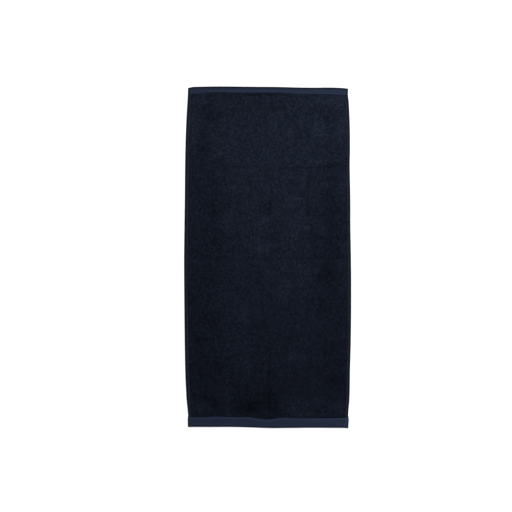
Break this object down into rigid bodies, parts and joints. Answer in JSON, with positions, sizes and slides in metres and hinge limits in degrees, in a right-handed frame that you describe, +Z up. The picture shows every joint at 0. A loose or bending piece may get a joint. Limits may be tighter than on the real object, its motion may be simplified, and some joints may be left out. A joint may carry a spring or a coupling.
{
  "type": "hand towel",
  "caption": "Plain dark terry hand towel laid flat, with a narrow flat-woven hem at one end, a wide one at the other and turned side edges.",
  "frame": {"origin": "middle of the towel's width and length, on its underside, which lies on the surface", "axes": "+Y along the towel towards the narrow hem, +X across it to the right as seen from above, +Z up out of its face"},
  "size_m": [0.4906, 1.0028, 0.0052],
  "materials": {
    "terry_cloth": "matte",
    "flat_weave": "matte"
  },
  "bodies": {
    "root": {"hand_towel": "terry_cloth"}
  },
  "joints": []
}
